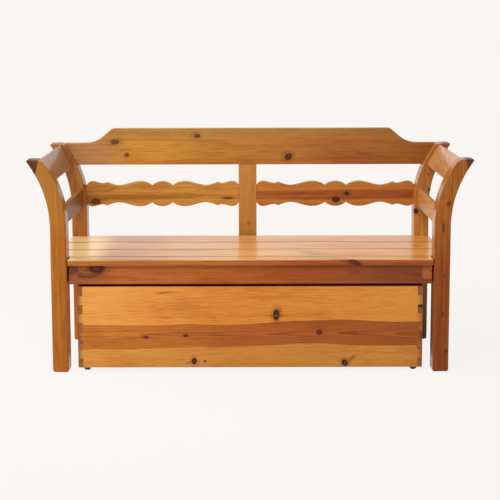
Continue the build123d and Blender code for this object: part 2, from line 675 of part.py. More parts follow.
def housing(turn):
    """Inverted channel over a wheel, its outer cheek drawn out into a screw plate on the drawer's side."""
    half_l = WHEEL_R + WHEEL_TOP_PLAY
    top = BOTTOM_Z - WHEEL_R
    shell = block(-HOUSING_HALF, HOUSING_HALF, -half_l, half_l, -CHEEK_BELOW_AXLE, top)
    gap = WHEEL_W / 2 + WHEEL_SIDE_PLAY
    shell -= block(-gap, gap, -half_l, half_l, -CHEEK_BELOW_AXLE, top - HOUSING_T)
    ends = sorted((turn * half_l, turn * (half_l + SCREW_PLATE_L)))
    shell += block(HOUSING_HALF - HOUSING_T, HOUSING_HALF, *ends, DRAWER_Z0 - WHEEL_R, top)
    shell -= along_x(-HOUSING_HALF, HOUSING_HALF, AXLE_R + AXLE_SEAT_PLAY, 0, 0)
    return shell


def make_wheels():
    """Wheels, housings, axles and housing screws at the drawer's four lower corners."""
    length = DRAWER_T * SCREW_BITE + HOUSING_T
    one = Rot(0, 90, 0) * screw(length, SMALL_SCREW_R, SMALL_SCREW_HEAD_R, SMALL_SCREW_HEAD_H)
    hole = Rot(0, 90, 0) * screw_hole(length, SMALL_SCREW_R)
    plate_z = (DRAWER_Z0 + BOTTOM_Z) / 2
    axles = []
    screws = []
    for row, (y, turn) in WHEEL_ROWS.items():
        place = Pos(WHEEL_X, y, WHEEL_R)
        cover = place * housing(turn)
        for share in PLATE_SCREW_SHARES:
            at = turn * (WHEEL_R + WHEEL_TOP_PLAY + share * SCREW_PLATE_L)
            seat = Pos(DRAWER_IN - HOUSING_T, y + at, plate_z)
            screws.append(seat * one)
            cover -= seat * hole
            for side, put in SIDES.items():
                parts[f"drawer_side_{side}"] -= put(seat * hole)
        axles.append(place * along_x(-HOUSING_HALF, HOUSING_HALF, AXLE_R, 0, 0))
        for side, put in SIDES.items():
            parts[f"wheel_{row}_{side}"] = put(place * wheel())
            parts[f"wheel_housing_{row}_{side}"] = put(cover)
    parts["wheel_axles"] = group(axles + [other_side(piece) for piece in axles])
    parts["housing_screws"] = group(screws + [other_side(piece) for piece in screws])


make_bench_ends()
make_bolts()
make_seat_box()
make_seat()
make_back()
make_seat_screws()
make_drawer_box()
make_wheels()
for name, piece in parts.items():
    if name.startswith(("drawer_", "wheel_", "housing_")):
        parts[name] = Pos(DRAWER_X, 0, 0) * piece

# The origin is under the middle of the whole bench
box = group(parts.values()).bounding_box()
to_middle = Pos(0, -(box.min.Y + box.max.Y) / 2, 0)
os.makedirs("parts", exist_ok=True)
for name, piece in parts.items():
    export_step(to_middle * piece, f"parts/{name}.step")
print("nodes", len(parts), "overall", [round(v, 2) for v in box.size])
print("front plane y", round(to_middle.position.Y, 3), "wheels x", DRAWER_X - WHEEL_X, DRAWER_X + WHEEL_X)
for row, (y, turn) in WHEEL_ROWS.items():
    print(row, "wheel y", round(y + to_middle.position.Y, 3))
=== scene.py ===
# %% [markdown]
# # A pine settle bench with a roll-out drawer
# The carpentry comes from the CAD model: every board, wheel and screw is already a mesh in its place.
# What is left for Blender is how the pieces look. The bench is lacquered pine, so most of this lesson
# grows pine boards out of shader maths, each with its own rings, knots and colour.

import math

import bpy
from mathutils import Matrix, Vector


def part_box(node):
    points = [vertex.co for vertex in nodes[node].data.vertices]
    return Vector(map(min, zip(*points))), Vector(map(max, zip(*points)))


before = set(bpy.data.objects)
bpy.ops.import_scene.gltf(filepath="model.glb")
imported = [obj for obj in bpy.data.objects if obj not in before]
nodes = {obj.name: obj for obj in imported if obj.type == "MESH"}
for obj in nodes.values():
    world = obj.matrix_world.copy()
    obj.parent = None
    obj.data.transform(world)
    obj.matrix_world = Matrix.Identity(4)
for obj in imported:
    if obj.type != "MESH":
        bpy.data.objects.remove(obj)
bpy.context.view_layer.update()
OUT = {"left": -1, "right": 1}  # the way out of the bench along X, by side

# %% [markdown]
# ## The camera
# The picture was taken from straight in front with a long lens, a little above the bench and tilted
# down. A lens that long keeps upright edges almost upright. The tiny roll levels the bench the way
# the picture has it.

# %% Camera
IMAGE_WIDTH = 500.0
FOCAL_PIXELS = 1650.0
SENSOR_MM = 36.0
CAMERA_PLACE = (-0.0014, -6.513, 1.568)
CAMERA_PITCH = math.radians(90.0 - 9.97)
CAMERA_ROLL = math.radians(-0.125)

lens = bpy.data.cameras.new("front_camera")
lens.sensor_width = SENSOR_MM
lens.lens = FOCAL_PIXELS / IMAGE_WIDTH * SENSOR_MM
camera = bpy.data.objects.new("front_camera", lens)
aim = Matrix.Rotation(CAMERA_PITCH, 4, "X") @ Matrix.Rotation(CAMERA_ROLL, 4, "Z")
camera.matrix_world = Matrix.Translation(CAMERA_PLACE) @ aim
bpy.context.scene.collection.objects.link(camera)
bpy.context.scene.camera = camera
print("lens", round(lens.lens, 1), "mm")

# %% [markdown]
# ## Writing shaders as sums
# A pine board is a stack of formulas: distance from the heart of the tree, rings, knots, fibres.
# Wiring that by hand takes hundreds of nodes, so a small class lets Python's own operators add the
# Math nodes. Colours take another road, through Mix nodes, because Math would turn them grey.

# %% Shader sums
class Term:
    """A number that varies over a surface; operators on it add Math nodes to its finish."""

    def __init__(self, finish, socket):
        self.finish = finish
        self.socket = socket

    def math(self, operation, *others, clamp=False):
        return self.finish.math(operation, self, *others, clamp=clamp)

    def __add__(self, other):
        return self.math("ADD", other)

    def __radd__(self, other):
        return self.finish.math("ADD", other, self)

    def __sub__(self, other):
        return self.math("SUBTRACT", other)

    def __rsub__(self, other):
        return self.finish.math("SUBTRACT", other, self)

    def __mul__(self, other):
        return self.math("MULTIPLY", other)

    def __rmul__(self, other):
        return self.finish.math("MULTIPLY", other, self)

    def __truediv__(self, other):
        return self.math("DIVIDE", other)

    def __pow__(self, other):
        return self.math("POWER", other)

    def clamped(self):
        return self.math("MULTIPLY", 1.0, clamp=True)

    def rise(self, low, width):
        """Zero up to low, then climbing to one over a width."""
        return (self - low).math("DIVIDE", width, clamp=True)

    def fall(self, high, width):
        """Zero from high on, and one from a width before it."""
        return (high - self).math("DIVIDE", width, clamp=True)

    def bell(self, middle, width):
        """One at the middle, fading to nothing a few widths away."""
        off = (self - middle) / width
        return (off * off * -1.0).math("EXPONENT")


class Finish:
    """The nodes of one material, or of the world around the bench."""

    def __init__(self, owner):
        self.owner = owner
        owner.use_nodes = True
        self.tree = owner.node_tree
        self.tree.nodes.clear()

    def node(self, kind, settings=None, inputs=None):
        """Any node: its settings first, then its sockets, and its outputs as terms."""
        made = self.tree.nodes.new(kind)
        for key, value in (settings or {}).items():
            if key == "stops":
                self.set_stops(made.color_ramp, *value)
            else:
                setattr(made, key, value)
        for key, value in (inputs or {}).items():
            socket = self.find(made, key)
            if isinstance(value, Term):
                self.tree.links.new(value.socket, socket)
            else:
                socket.default_value = value
        return {out.identifier: Term(self, out) for out in made.outputs}

    def find(self, made, key):
        if isinstance(key, int):
            return made.inputs[key]
        exact = [socket for socket in made.inputs if socket.identifier == key]
        return exact[0] if exact else made.inputs[key]

    def set_stops(self, ramp, smooth, stops):
        ramp.interpolation = smooth
        while len(ramp.elements) < len(stops):
            ramp.elements.new(1.0)
        while len(ramp.elements) > len(stops):
            ramp.elements.remove(ramp.elements[-1])
        for element, (place, colour) in zip(ramp.elements, stops):
            element.position = place
            element.color = colour

    def math(self, operation, *values, clamp=False):
        settings = {"operation": operation, "use_clamp": clamp}
        return self.node("ShaderNodeMath", settings, dict(enumerate(values)))["Value"]

    def mix(self, factor, first, second, blend="MIX"):
        """Two colours mixed by a factor from 0 to 1."""
        settings = {"data_type": "RGBA", "blend_type": blend, "clamp_factor": True}
        inputs = {"Factor_Float": factor, "A_Color": first, "B_Color": second}
        return self.node("ShaderNodeMix", settings, inputs)["Result_Color"]

    def noise(self, x, y, z, detail=2.0, roughness=0.5):
        """Soft noise about zero, from minus a half to a half."""
        place = self.node("ShaderNodeCombineXYZ", None, {0: x, 1: y, 2: z})["Vector"]
        inputs = {"Vector": place, "Scale": 1.0, "Detail": detail, "Roughness": roughness}
        return self.node("ShaderNodeTexNoise", None, inputs)["Fac"] - 0.5

    def along(self, term, low, high, points, smooth="EASE"):
        """A colour that changes along a term, given at some of its values."""
        share = term.rise(low, high - low)
        stops = [((place - low) / (high - low), colour) for place, colour in points]
        return self.node("ShaderNodeValToRGB", {"stops": (smooth, stops)}, {"Fac": share})["Color"]

    def surface(self, shader_inputs, bump=None, bump_strength=0.1, bump_depth=0.0005):
        """The closing Principled shader."""
        inputs = dict(shader_inputs)
        if bump is not None:
            settings = {"Height": bump, "Strength": bump_strength, "Distance": bump_depth}
            inputs["Normal"] = self.node("ShaderNodeBump", None, settings)["Normal"]
        shader = self.node("ShaderNodeBsdfPrincipled", None, inputs)["BSDF"]
        self.node("ShaderNodeOutputMaterial", None, {"Surface": shader})
        return self.owner


def paint(red, green, blue):
    """A colour picked on a screen, as Blender's linear numbers."""
    def linear(channel):
        share = channel / 255.0
        return share / 12.92 if share <= 0.04045 else ((share + 0.055) / 1.055) ** 2.4

    return (linear(red), linear(green), linear(blue), 1.0)


def grey(level):
    return (level, level, level, 1.0)


print("shader sums ready")

# %% [markdown]
# ## Growing a pine board
# A board is cut from a tree, so its pattern is three-dimensional: rings are cylinders round the heart
# line, and the board's faces slice them. Where a face runs along the heart it shows flames, further
# out straight lines, and across the end it shows arcs. Computing the distance to the heart line in
# the board's own axes gives all three for nothing, on every side of the board.
#
# Knots are old branches. Each pushes the grain aside, carries a dark core with a darker rim, and
# warms the wood round it. Finer noise adds fibres, and a clear lacquer coat lies over everything.

# %% Knots
KNOT_CORE = paint(84, 40, 28)
KNOT_RED = paint(128, 60, 26)
KNOT_RIM = paint(30, 11, 8)
SWIRL_DARK = paint(84, 40, 26)
BLACK_KNOT = 0.6        # darker knots have a brown core, fainter ones a red one
BUMPS = 90.0            # bumps per metre in a knot's outline
BUMP_SIZE = 0.007       # their size in metres
BUMP_MOST = 0.6         # their largest share of the knot's radius
PUSH_REACH = -0.3
PUSH_SHARE = 0.85
# Where the parts of a knot lie and how soft they are, in knot radii
HALO = (2.7, 1.8)
CORE = (1.2, 0.45)
RIM = (0.8, 0.32)
SWIRL_RING = (0.85, 0.18)
SWIRL_INSIDE = (0.9, 0.2)
SWIRL_LINES = 24.0


def turned(first, second, angle):
    """Two coordinates, seen from axes turned by an angle in degrees."""
    cosine = math.cos(math.radians(angle))
    sine = math.sin(math.radians(angle))
    return first * cosine + second * sine, second * cosine - first * sine


def knot_marks(board, knot, seed):
    """Distance from a knot in knot radii, how far it pushes the grain aside, and how dark it is.

    A knot is its place along and across the board, its radius, its stretch along the grain and its
    darkness. A sixth number turns it on the board's face. A seventh is a level in the board's
    thickness, and then the knot is turned on the board's edge.
    """
    along, across, through = board["along"], board["across"], board["through"]
    place, height, radius, stretch, dark = knot[:5]
    run = along - place
    rise = across - height
    sunk = 0.0
    if len(knot) == 6:
        run, rise = turned(run, rise, knot[5])
    if len(knot) == 7:
        run, sink = turned(run, through - knot[6], knot[5])
        sunk = sink * sink
    run = run / stretch
    rough = board["pine"].noise(along * BUMPS + seed, across * BUMPS, through * BUMPS, 2.0)
    bumps = rough * min(BUMP_MOST, BUMP_SIZE / radius)
    away = (run * run + rise * rise + sunk).math("SQRT") / radius + bumps
    near = (away * away * PUSH_REACH).math("EXPONENT")
    return away, rise * near * PUSH_SHARE, dark


def knot_paint(pine, colour, away, dark):
    """A knot's warm halo, its core and its dark rim, over the colour of the board."""
    colour = pine.mix(away.fall(*HALO) * 0.45 * dark, colour, KNOT_RED)
    colour = pine.mix(away.fall(*CORE) * dark, colour, KNOT_CORE if dark > BLACK_KNOT else KNOT_RED)
    return pine.mix(away.bell(*RIM) * dark ** 4, colour, KNOT_RIM)


def swirl_paint(pine, colour, away, dark):
    """Wood that has grown round a branch: a broad dark ring with finer rings inside it."""
    lines = (away * SWIRL_LINES).math("SINE") * 0.5 + 0.5
    share = away.bell(*SWIRL_RING) * 0.8 + away.fall(*SWIRL_INSIDE) * lines * 0.45
    return pine.mix(share * dark, colour, SWIRL_DARK)


print("knots ready")

# %% [markdown]
# Three more things happen to boards. A band of red heartwood runs between two curves. Two planks
# glued edge to edge show a thin line and different colours. The seat's plank joints get painted shade.

# %% Bands and glue lines
GLUE_SHADE = (0.55, 0.45, 0.40, 1.0)
GLUE_STEP = 0.001
GLUE_WIDTH = 0.0013
GLUE_FADE = 0.5
BAND_SOFT = 0.0015
BAND_MARGIN = 0.1       # keeps a band's heights above zero, where colours can't go
RIPPLE_DEPTH = 0.003


def tone_run(board, tones):
    """A colour that changes along the board, from screen colours at places along it."""
    stops = [(place, paint(*tone)) for place, tone in tones]
    return board["pine"].along(board["along"], board["start"], board["end"], stops)


def height_run(board, points, base):
    """A smooth curve along the board, from heights at places along it."""
    stops = [(place, grey(height - base)) for place, height in points]
    return board["pine"].along(board["along"], board["start"], board["end"], stops, "CARDINAL")


def glue_paint(board, colour, glue):
    """The other colour above the glue line, and the line itself, which fades to the right."""
    pine = board["pine"]
    colour = pine.mix(board["upper"], colour, tone_run(board, glue["tones"]))
    fading = board["along"].fall(glue["fades"], GLUE_FADE)
    line = board["across"].bell(glue["at"], GLUE_WIDTH) * (fading * 0.7 + 0.12)
    return pine.mix(line, colour, pine.mix(1.0, colour, GLUE_SHADE, "MULTIPLY"))


def band_paint(board, colour, heart, ripple):
    """The red band over the colour of the board, and where the band lies."""
    pine = board["pine"]
    base = board["bottom"] - BAND_MARGIN
    height = board["across"] + ripple * RIPPLE_DEPTH - base
    under = height_run(board, heart["under"], base)
    over = height_run(board, heart["over"], base)
    soft = heart.get("soft", BAND_SOFT)
    above = height.rise(under, soft)
    # Tones under the band, where a board has them, darken its lower part with painted shade
    if "below" in heart:
        colour = pine.mix(1.0 - above, colour, tone_run(board, heart["below"]))
    inside = above * over.rise(height, soft)
    red = tone_run(board, heart["tones"])
    return pine.mix(inside * heart.get("strength", 1.0), colour, red), inside


print("bands ready")

# %% [markdown]
# All of it comes together in one recipe. Noise that is drawn out along the board gives sweep and
# ripples to the rings, and streaks, flecks and fibres to the colour.

# %% Pine boards
LATE_SHADE = (0.58, 0.43, 0.36, 1.0)
END_SHADE = (0.60, 0.46, 0.40, 1.0)
PALE_STREAK = (1.07, 1.12, 1.18, 1.0)
DARK_STREAK = (0.80, 0.67, 0.57, 1.0)
# Painted shade along the joints between the seat's planks: its colour, width and strength
SEAM_SHADE_COLOUR = paint(58, 28, 14)
SEAM_SHADE_WIDTH = 0.007
SEAM_SHADE_STRENGTH = 0.9
# Noise: waves per metre along the board and across it
SWEEP = (1.3, 4.0)
RIPPLE = (7.0, 40.0)
FIBRE = (16.0, 620.0)
STREAK = (2.6, 66.0)
FLECK = (15.0, 240.0)
CLOUD = (2.6, 10.0)
END_MOTTLE = 48.0
# How strongly each noise darkens the wood; streaks have a strength of their own on each board
SHADE_BASE = 0.28
CLOUD_SHADE = 1.8
FLECK_SHADE = 2.4
FIBRE_SHADE = 1.2
# Rings: how unevenly they are spaced, how they differ by year, how late in the year they darken
RING_WAVES = 42.0
RING_UNEVEN = 2.4
YEAR_WAVES = 0.31
LATE_POWER = 2.4
LATE_STRENGTH = 1.5
GLUE_JUMP = 3.7         # shifts the pattern of the second plank along the first
COAT_ROUGHNESS = 0.1
RELIEF_STRENGTH = 0.12
RELIEF_DEPTH = 0.0006
boards_made = []


def pine_board(node, grain, tones, heart_line, ring=0.0055, contrast=0.42, wander=0.014, heart=None,
               knots=(), swirls=(), glue=None, edge=None, shaded_seams=(), streaks=3.0, ends=1.0, rough=0.38,
               gloss=0.16, coat=0.05, seed=0.0):
    """Give a board its pine: grain names its long, wide and thick axis, tones the colour along it."""
    pine = Finish(bpy.data.materials.new(f"pine_{node}"))
    where = pine.node("ShaderNodeTexCoord")
    axes = pine.node("ShaderNodeSeparateXYZ", None, {0: where["Object"]})
    facing = pine.node("ShaderNodeSeparateXYZ", None, {0: where["Normal"]})
    long, wide, thick = grain.upper()
    along, across, through = axes[long], axes[wide], axes[thick]
    low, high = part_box(node)
    first = "XYZ".index(long)
    board = {"pine": pine, "along": along, "across": across, "through": through,
             "start": low[first], "end": high[first], "bottom": low["XYZ".index(wide)]}
    run = along + seed
    if glue:
        board["upper"] = across.rise(glue["at"], GLUE_STEP)
        run = run + board["upper"] * GLUE_JUMP

    def drawn_out(waves, detail, roughness=0.5):
        lengthwise, crosswise = waves
        return pine.noise(run * lengthwise, across * crosswise, through * crosswise, detail, roughness)

    marks = [knot_marks(board, knot, seed + i) for i, knot in enumerate(knots)]
    rounds = [knot_marks(board, knot, seed - i) for i, knot in enumerate(swirls)]
    side = across - heart_line[0]
    depth = through - heart_line[1]
    for _, push, _ in marks + rounds:
        side = side - push
    ripple = drawn_out(RIPPLE, 2.0)
    centre_distance = (side * side + depth * depth).math("SQRT")
    radius = centre_distance + drawn_out(SWEEP, 1.0) * wander + ripple * RIPPLE_DEPTH
    turns = radius / ring + pine.noise(radius * RING_WAVES, seed, 0.3, 1.0) * RING_UNEVEN
    year = pine.noise(turns * YEAR_WAVES, seed, 0.5, 1.0) + 0.5
    late = turns.math("FRACT") ** LATE_POWER * (year * LATE_STRENGTH)
    fibre = drawn_out(FIBRE, 2.0)
    cloud = drawn_out(CLOUD, 3.0)

    colour = tone_run(board, tones)
    if edge:
        narrow = 1.0 - facing[thick].rise(0.55, 0.25)
        colour = pine.mix(narrow, colour, tone_run(board, edge))
        coat = (1.0 - narrow) * coat
    if glue:
        colour = glue_paint(board, colour, glue)
    ring_contrast = contrast
    if heart:
        colour, inside = band_paint(board, colour, heart, ripple)
        ring_contrast = inside * (heart.get("contrast", contrast) - contrast) + contrast
    shaded = pine.mix(1.0, colour, LATE_SHADE, "MULTIPLY")
    colour = pine.mix(late * ring_contrast, colour, shaded)
    light = pine.mix(1.0, colour, PALE_STREAK, "MULTIPLY")
    dark_wood = pine.mix(1.0, colour, DARK_STREAK, "MULTIPLY")
    shade = SHADE_BASE + drawn_out(STREAK, 5.0, 0.68) * streaks + cloud * CLOUD_SHADE
    shade = shade + drawn_out(FLECK, 3.0) * FLECK_SHADE + fibre * FIBRE_SHADE
    colour = pine.mix(shade, light, dark_wood)
    for away, _, dark in rounds:
        colour = swirl_paint(pine, colour, away, dark)
    for away, _, dark in marks:
        colour = knot_paint(pine, colour, away, dark)
    # Painted shade along the plank's joints, which also takes the lacquer away there
    for seam_place, way in shaded_seams:
        seam_shade = 1.0 - ((across - seam_place) * way).math("DIVIDE", SEAM_SHADE_WIDTH, clamp=True)
        colour = pine.mix(seam_shade * SEAM_SHADE_STRENGTH, colour, SEAM_SHADE_COLOUR)
        coat = (1.0 - seam_shade) * coat
    cut_end = facing[long].math("ABSOLUTE").rise(0.8, 0.15)
    mottle = pine.noise(across * END_MOTTLE + seed, through * END_MOTTLE, 0.2, 3.0) * 3.0 + 0.4
    end_wood = pine.mix(1.0, colour, END_SHADE, "MULTIPLY")
    colour = pine.mix(cut_end * mottle.clamped() * ends, colour, end_wood)

    inputs = {"Base Color": colour, "Roughness": rough + late * 0.06 + cloud * 0.14,
              "Specular IOR Level": gloss, "Coat Weight": coat, "Coat Roughness": COAT_ROUGHNESS}
    relief = late * 0.5 + fibre * 0.7 + cloud * 0.8
    material = pine.surface(inputs, relief, RELIEF_STRENGTH, RELIEF_DEPTH)
    nodes[node].data.materials.clear()
    nodes[node].data.materials.append(material)
    boards_made.append(node)


print("pine recipe ready")

# %% [markdown]
# ## The drawer
# The front is one wide plank sawn close to the heart: a reddish heartwood band with flames along its
# middle, pale sapwood on both sides, painted shade darkening its lower part, and the bench's most striking
# knots. The band's edges wave along the plank, so they are given as two curves. The sides' ends come
# through the front as fingers.

# %% Drawer boards
DRAWER_HEART = {
    "under": [(-0.66, 0.088), (-0.40, 0.091), (-0.22, 0.098), (-0.12, 0.097), (0.0, 0.099), (0.17, 0.108),
              (0.294, 0.109), (0.425, 0.101), (0.66, 0.102)],
    "over": [(-0.66, 0.187), (-0.426, 0.184), (-0.311, 0.186), (-0.245, 0.189), (-0.157, 0.1865),
             (-0.037, 0.187), (0.117, 0.198), (0.252, 0.203), (0.375, 0.205), (0.529, 0.197),
             (0.66, 0.197)],
    "tones": [(-0.665, (140, 84, 38)), (-0.644, (189, 116, 40)), (-0.3, (182, 107, 36)),
              (0.0, (170, 91, 31)), (0.3, (163, 85, 30)), (0.64, (158, 82, 30)), (0.662, (124, 66, 28))],
    # Tones under the band, darker towards the bottom of the front: painted shade
    "below": [(-0.665, (150, 94, 46)), (-0.644, (207, 143, 62)), (0.0, (191, 124, 49)),
              (0.635, (196, 131, 56)), (0.662, (152, 96, 46))],
    "contrast": 0.95,
}
DRAWER_KNOTS = [
    (-0.404, 0.137, 0.0060, 1.5, 0.92),
    (-0.404, 0.137, 0.0022, 9.0, 0.5),
    (-0.250, 0.144, 0.0055, 1.6, 0.85),
    (-0.218, 0.042, 0.0110, 0.8, 1.0),
    (-0.176, 0.041, 0.0035, 1.1, 0.85),
    (-0.238, 0.037, 0.0026, 5.0, 0.5, 14.0),
    (0.099, 0.224, 0.0195, 0.58, 1.0),
    (0.099, 0.220, 0.0024, 10.0, 0.6),
    (0.112, 0.243, 0.0045, 2.6, 0.3, 70.0),
    (0.265, 0.156, 0.0085, 1.15, 0.92),
    (0.396, 0.152, 0.0050, 4.0, 0.55),
    (0.364, 0.034, 0.0120, 0.85, 1.0, 40.0),
    (0.390, 0.052, 0.0055, 3.2, 0.45, 38.0),
    (-0.321, 0.313, 0.0026, 10.0, 0.5),
    (-0.345, 0.309, 0.0022, 9.0, 0.4),
    (-0.254, 0.266, 0.0200, 1.6, 0.14),
]
HONEY = [(-0.665, (152, 94, 46)), (-0.642, (218, 148, 66)), (-0.3, (214, 139, 55)), (0.0, (206, 130, 46)),
         (0.635, (208, 135, 52)), (0.662, (168, 104, 48))]
FINGERS = {"left": (158, 98, 50), "right": (158, 97, 50)}
pine_board("drawer_front", "xzy", HONEY, (0.148, -0.285), ring=0.0052, contrast=0.2, wander=0.034,
           heart=DRAWER_HEART, knots=DRAWER_KNOTS, streaks=1.5, seed=3.1)
pine_board("drawer_back", "xzy", [(0.0, (206, 136, 60))], (0.10, 0.12), seed=7.7, rough=0.45, coat=0.05)
for i, (side, tone) in enumerate(FINGERS.items()):
    knots = [(-0.30, 0.261, 0.012, 1.0, 0.9)] if side == "right" else ()
    pine_board(f"drawer_side_{side}", "yzx", [(0.0, tone)], (0.2, OUT[side] * 0.72), knots=knots,
               ends=(1.0, 0.8)[i], rough=0.45, seed=11.0 + i)
print("drawer boards", len(boards_made))

# %% [markdown]
# ## The seat and the apron under it
# The seat takes the highest polish: seen this flat, its lacquer mirrors the pale surroundings. The
# apron grows darker and redder towards the right and has a large swirl knot at its left end.

# %% Seat and apron boards
# Palest at the left end, where the seat's tones hold a painted highlight
SEAT_TONES_AND_HIGHLIGHT = [(-0.75, (255, 222, 168)), (-0.64, (254, 216, 152)), (-0.53, (202, 145, 100)),
              (-0.3, (230, 173, 114)), (0.0, (241, 179, 107)), (0.45, (230, 161, 76)),
              (0.75, (227, 158, 74))]
STRIP_EDGE = [(-0.70, (177, 109, 42)), (-0.3, (174, 103, 40)), (0.2, (162, 86, 35)), (0.70, (160, 81, 33))]
SEAT_KNOTS = {
    "seat_front_strip": [(0.395, -0.316, 0.0090, 2.8, 0.95, -16.0, 0.430),
                         (0.358, -0.316, 0.0065, 4.2, 0.5, -14.0, 0.435),
                         (0.325, -0.280, 0.0100, 2.6, 0.35)],
    "seat_plank_1": [(0.223, -0.148, 0.0090, 2.3, 0.5), (0.265, -0.190, 0.0110, 3.2, 0.5)],
    "seat_plank_2": [(0.662, -0.012, 0.0070, 1.8, 0.8), (-0.533, -0.066, 0.0030, 8.0, 0.45)],
    "seat_plank_3": [],
}
for i, (node, knots) in enumerate(SEAT_KNOTS.items()):
    front, rear = (corner.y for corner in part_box(node))
    shaded_seams = [(front, 1.0), (rear, -1.0)] if i else [(rear, -1.0)]
    pine_board(node, "xyz", SEAT_TONES_AND_HIGHLIGHT, (-0.24 + 0.16 * i, 0.30), knots=knots,
               edge=None if i else STRIP_EDGE, shaded_seams=shaded_seams, contrast=1.0, streaks=4.5,
               rough=0.3, gloss=0.2, coat=0.26, seed=21.0 + 3 * i)
APRON_TONES = [(-0.70, (146, 82, 38)), (-0.60, (156, 87, 38)), (-0.48, (177, 99, 36)),
               (-0.1, (170, 91, 28)), (0.25, (151, 75, 24)), (0.55, (131, 65, 26)), (0.70, (128, 63, 26))]
APRON_KNOTS = [
    (-0.590, 0.406, 0.0170, 1.6, 0.9),
    (0.400, 0.388, 0.0080, 2.2, 0.55),
]
pine_board("apron_front", "xzy", APRON_TONES, (0.33, -0.24), contrast=0.55, knots=APRON_KNOTS,
           swirls=[(-0.625, 0.408, 0.0410, 1.7, 0.95)], seed=31.4)
pine_board("apron_rear", "xzy", [(0.0, (168, 96, 44))], (0.36, 0.18), seed=33.0)
SWIRL_REST = {
    "under": [(-0.3, 0.374), (0.3, 0.374)],
    "over": [(-0.3, 0.500), (0.3, 0.500)],
    "tones": [(0.0, (112, 63, 42))],
    "soft": 0.014,
    "strength": 0.9,
}
BEARER_TONES = {"left": (150, 86, 42), "right": (170, 96, 44)}
for i, (side, tone) in enumerate(BEARER_TONES.items()):
    pine_board(f"bearer_{side}", "yzx", [(0.0, tone)], (0.36, OUT[side] * 0.62),
               heart=SWIRL_REST if side == "left" else None, ends=0.4, seed=35.0 + i)
print("boards so far", len(boards_made))

# %% [markdown]
# ## The back
# The top rail shades from honey on the left to red-brown on the right. The scalloped rails carry a
# reddish band along their middle, where the saw passed near the heart.

# %% Back boards
TOP_TONES = [(-0.75, (179, 128, 80)), (-0.62, (182, 129, 74)), (-0.48, (201, 141, 54)),
             (-0.15, (186, 126, 50)), (0.15, (176, 115, 48)), (0.42, (160, 99, 45)), (0.75, (152, 91, 34))]
TOP_GLUE = {
    "at": 0.836,
    "tones": [(-0.6, (178, 130, 62)), (0.0, (174, 124, 57)), (0.6, (157, 102, 44))],
    "fades": 0.1,
}
TOP_KNOTS = [
    (-0.559, 0.829, 0.0105, 1.6, 0.75),
    (-0.511, 0.774, 0.0070, 1.3, 0.75),
    (-0.218, 0.853, 0.0075, 1.6, 0.7),
    (0.158, 0.766, 0.0120, 1.25, 0.88, 30.0),
    (0.472, 0.779, 0.0036, 8.0, 0.5),
    (0.450, 0.786, 0.0030, 7.0, 0.4, -24.0),
]
TOP_SWIRLS = [
    (-0.510, 0.780, 0.0260, 1.1, 0.14),
    (-0.226, 0.858, 0.0130, 1.5, 0.4),
    (0.158, 0.766, 0.0250, 1.2, 0.22),
]
pine_board("back_top_rail", "xzy", TOP_TONES, (0.70, 0.30), knots=TOP_KNOTS, swirls=TOP_SWIRLS,
           glue=TOP_GLUE, contrast=0.5, wander=0.03, seed=41.0)
LEFT_BAND = {
    "under": [(-0.70, 0.585), (-0.05, 0.590)],
    "over": [(-0.70, 0.6115), (-0.4, 0.6130), (-0.05, 0.6100)],
    "tones": [(-0.70, (156, 102, 44)), (-0.3, (186, 125, 49)), (-0.05, (182, 121, 50))],
    "soft": 0.004,
    "strength": 0.85,
}
LEFT_KNOTS = [
    (-0.642, 0.580, 0.0115, 1.7, 0.8),
    (-0.575, 0.632, 0.0024, 8.0, 0.5, 18.0),
    (-0.093, 0.594, 0.0052, 4.2, 0.75),
    (-0.150, 0.634, 0.0060, 7.0, 0.22, -8.0),
]
RIGHT_BAND = {
    "under": [(0.03, 0.585), (0.35, 0.583), (0.70, 0.590)],
    "over": [(0.03, 0.626), (0.4, 0.631), (0.70, 0.629)],
    "tones": [(0.03, (166, 95, 41)), (0.4, (154, 83, 36)), (0.70, (156, 84, 35))],
    "soft": 0.005,
    "strength": 0.9,
    "contrast": 0.65,
}
RIGHT_KNOTS = [
    (0.356, 0.587, 0.0110, 1.3, 0.95),
    (0.401, 0.612, 0.0075, 1.3, 0.9),
]
LEFT_TONES = [(-0.70, (176, 122, 54)), (-0.5, (202, 147, 62)), (0.0, (198, 139, 57))]
RIGHT_TONES = [(0.0, (190, 123, 50)), (0.7, (178, 112, 46))]
pine_board("scalloped_rail_left", "xzy", LEFT_TONES, (0.60, 0.17), heart=LEFT_BAND, knots=LEFT_KNOTS,
           seed=43.0)
pine_board("scalloped_rail_right", "xzy", RIGHT_TONES, (0.61, 0.31), heart=RIGHT_BAND, knots=RIGHT_KNOTS,
           seed=45.0)
pine_board("back_centre_post", "zxy", [(0.5, (188, 127, 58))], (-0.011, 0.305),
           knots=[(0.487, -0.008, 0.0045, 1.3, 0.5)], wander=0.03, seed=47.0)
print("boards so far", len(boards_made))
